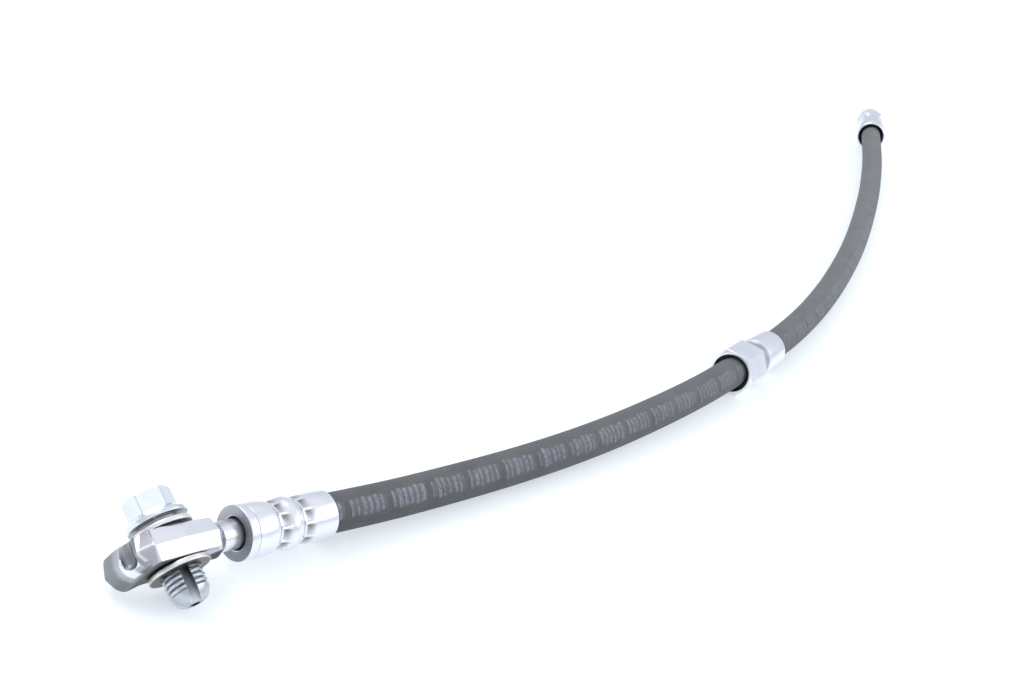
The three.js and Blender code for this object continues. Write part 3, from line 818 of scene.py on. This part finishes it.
ferrule = banjo_ferrule()
set_painted_shade(ferrule, ferrule_frame @ Matrix.Translation((2.8 * MM, 0, 0)), ferrule_painted_shade)
ferrule.data.materials.append(steel)
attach(ferrule, "root")
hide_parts("banjo_ferrule")

support_axis = Vector(HOSE_ROUTE[12]) - Vector(HOSE_ROUTE[11])
support_start = Vector(HOSE_ROUTE[11]) - support_axis.normalized() * 35.5 / 2 * MM
support_frame = frame_at(support_start, support_axis)


def support_sleeve():
    angles = np.linspace(0, 2 * math.pi, 180, endpoint=False)
    hexagon = hex_radius(angles, 15, 0, 0.25)
    rings = [(2.2, 5.5), (2.2, 6.5), (0.2, 6.5), (0, 6.7), (0, 7.0)]
    for place in np.linspace(0.02, 0.7, 9):
        crown = 7.2 + place / 0.6 * 1.5
        rings.append((place, soft_min(hexagon, np.full(180, crown), 0.25)))
    for place in np.linspace(1.5, 13.4, 6):
        rings.append((place, hexagon))
    for place in np.linspace(13.7, 14.48, 9):
        crown = 7.2 + (14.5 - place) / 0.6 * 1.5
        rings.append((place, soft_min(hexagon, np.full(180, crown), 0.25)))
    tail = rounded(
        [(14.5, 7.0), (14.5, 6.3), (20.5, 6.3), (20.7, 6.9), (34.9, 6.9), (35.5, 6.4), (35.5, 5.5), (34, 5.5)], 0.2
    )
    rings += [(p, r) for p, r in tail]
    return polar_mesh("support_dressed", rings, angles, support_frame, loop=True, sharp=35)


def mouth_painted_shade(x, y, z):
    """Painted shade inside a sleeve's mouth."""
    return ramp(6.75 - np.hypot(y, z), 0, 0.15) * ramp(x, 0.1, 0.6) * ramp(-x, -4, -3)


def support_painted_shade(x, y, z):
    """Painted shade in the groove for the clip too."""
    return np.maximum(mouth_painted_shade(x, y, z), 0.5 * ramp(x, 14.0, 14.6) * ramp(-x, -20.7, -20.3))


support = support_sleeve()
set_painted_shade(support, support_frame, support_painted_shade)
support.data.materials.append(steel)
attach(support, "root")
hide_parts("support_sleeve")

end_axis = Vector(HOSE_ROUTE[-1]) - Vector(HOSE_ROUTE[-2])
end_start = Vector(HOSE_ROUTE[-1]) - end_axis.normalized() * 22 * MM
end_frame = frame_at(end_start, end_axis)


def end_ferrule():
    angles = np.linspace(0, 2 * math.pi, 144, endpoint=False)
    outside = fine_profile(
        [
            (3.1, 5.5), (2.5, 6.9), (0, 6.9), (0, 7.7), (0.5, 8.2), (8.4, 8.2), (9.6, 7.1), (24.9, 7.1),
            (25.3, 6.7), (25.3, 4.5),
        ],
        0.3,
        10,
        22,
        0.2,
    )
    rings = crimped(outside, angles, (13.2, 18.6), 0.6, 8)
    inside = rounded([(25.3, 4.5), (25.3, 3.95), (23.5, 3.95), (23.5, 5.5), (3.3, 5.5)], 0.1)
    rings += [(p, r) for p, r in inside[1:]]
    return polar_mesh("end_ferrule_crimped", rings, angles, end_frame, loop=True, sharp=50)


def end_fitting():
    angles = np.linspace(0, 2 * math.pi, 180, endpoint=False)
    hexagon = hex_radius(angles, 14, 0, 0.25)
    rings = [(5.2, 0.8), (5.2, 1.25), (22.3, 1.25), (22.3, 4.7), (23.2, 4.7), (23.2, 3.5), (25.6, 3.5), (25.6, 6.9)]
    for place in np.linspace(25.62, 26.2, 8):
        rings.append((place, soft_min(hexagon, np.full(180, 7.28 + (place - 25.6) / 0.5 * 0.85), 0.25)))
    for place in np.linspace(27, 32.6, 4):
        rings.append((place, hexagon))
    for place in np.linspace(33.0, 33.58, 8):
        rings.append((place, soft_min(hexagon, np.full(180, 7.28 + (33.6 - place) / 0.5 * 0.85), 0.25)))
    tail = rounded(
        [
            (33.6, 6.8), (33.6, 6.0), (35.8, 6.0), (36.1, 7.0), (38.6, 7.0), (39.0, 6.6), (39.0, 5.1), (38.4, 4.5),
            (37.6, 4.5),
        ],
        0.15,
    )
    rings += [(p, r) for p, r in tail]
    for step, place in enumerate(np.arange(37.4, 29.6, -0.25)):
        rings.append((place, 4.5 - 0.3 * (step % 4 in (1, 2))))
    rings += [(29.0, 4.2), (27.0, 0.8)]
    return polar_mesh("end_fitting_dressed", rings, angles, end_frame, loop=True, sharp=35)


for piece, node in ((end_ferrule(), "end_ferrule"), (end_fitting(), "end_fitting")):
    set_painted_shade(piece, end_frame, mouth_painted_shade)
    piece.data.materials.append(steel)
    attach(piece, "root")
    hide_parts(node)


# Floor, light and background
def ray_mask(tree):
    path = tree.nodes.new("ShaderNodeLightPath")
    total = None
    for name in ("Is Camera Ray", "Is Glossy Ray", "Is Transmission Ray"):
        if total is None:
            total = path.outputs[name]
            continue
        add = tree.nodes.new("ShaderNodeMath")
        add.operation = "ADD"
        add.use_clamp = True
        tree.links.new(total, add.inputs[0])
        tree.links.new(path.outputs[name], add.inputs[1])
        total = add.outputs["Value"]
    return total


def make_floor():
    mesh = bpy.data.meshes.new("floor")
    size = 6.0
    mesh.from_pydata([(-size, -size, 0), (size, -size, 0), (size, size, 0), (-size, size, 0)], [], [(0, 1, 2, 3)])
    floor = bpy.data.objects.new("floor", mesh)
    bpy.context.scene.collection.objects.link(floor)
    material = bpy.data.materials.new("floor_white")
    material.use_nodes = True
    tree = material.node_tree
    shader = tree.nodes["Principled BSDF"]
    shader.inputs["Base Color"].default_value = (0.55, 0.565, 0.575, 1)
    shader.inputs["Roughness"].default_value = 0.9
    shader.inputs["Specular IOR Level"].default_value = 0.1
    shader.inputs["Emission Color"].default_value = (0.9, 0.965, 1, 1)
    scale = tree.nodes.new("ShaderNodeMath")
    scale.operation = "MULTIPLY"
    scale.inputs[1].default_value = 0.54
    tree.links.new(ray_mask(tree), scale.inputs[0])
    tree.links.new(scale.outputs["Value"], shader.inputs["Emission Strength"])
    mesh.materials.append(material)


def make_world():
    world = bpy.data.worlds.new("studio")
    bpy.context.scene.world = world
    world.use_nodes = True
    tree = world.node_tree
    tree.nodes.clear()
    out = tree.nodes.new("ShaderNodeOutputWorld")
    sky = tree.nodes.new("ShaderNodeBackground")
    place = tree.nodes.new("ShaderNodeTexCoord")
    split = tree.nodes.new("ShaderNodeSeparateXYZ")
    height = tree.nodes.new("ShaderNodeMapRange")
    for key, number in (("From Min", 0.05), ("From Max", 0.75), ("To Min", 0), ("To Max", 1)):
        height.inputs[key].default_value = number
    shade = tree.nodes.new("ShaderNodeMix")
    shade.data_type = "RGBA"
    shade.inputs[6].default_value = (0.62, 0.67, 0.76, 1)
    shade.inputs[7].default_value = (0.90, 0.93, 1.0, 1)
    tree.links.new(place.outputs["Generated"], split.inputs["Vector"])
    tree.links.new(split.outputs["Z"], height.inputs["Value"])
    tree.links.new(height.outputs["Result"], shade.inputs["Factor"])
    tree.links.new(shade.outputs[2], sky.inputs["Color"])
    tree.links.new(sky.outputs["Background"], out.inputs["Surface"])


def add_softbox(name, place, aim, size, power, colour=(1, 1, 1)):
    data = bpy.data.lights.new(name, "AREA")
    data.shape = "RECTANGLE"
    data.size, data.size_y = size
    data.energy = power
    data.color = colour
    lamp = bpy.data.objects.new(name, data)
    bpy.context.scene.collection.objects.link(lamp)
    lamp.location = place
    lamp.rotation_mode = "QUATERNION"
    lamp.rotation_quaternion = (Vector(aim) - Vector(place)).to_track_quat("-Z", "Y")


make_floor()
make_world()
add_softbox("key", (-0.4, 0.9, 1.5), (0, 0, 0), (1.0, 0.8), 10)
add_softbox("front", (0.2, -0.9, 0.62), (-0.3, 0.02, 0.01), (1.3, 0.7), 3.2)
add_softbox("top", (-0.75, -0.2, 1.1), (-0.33, 0.02, 0), (0.5, 0.5), 0.3, (0.93, 0.98, 1.0))

bpy.context.scene.view_settings.view_transform = "Standard"
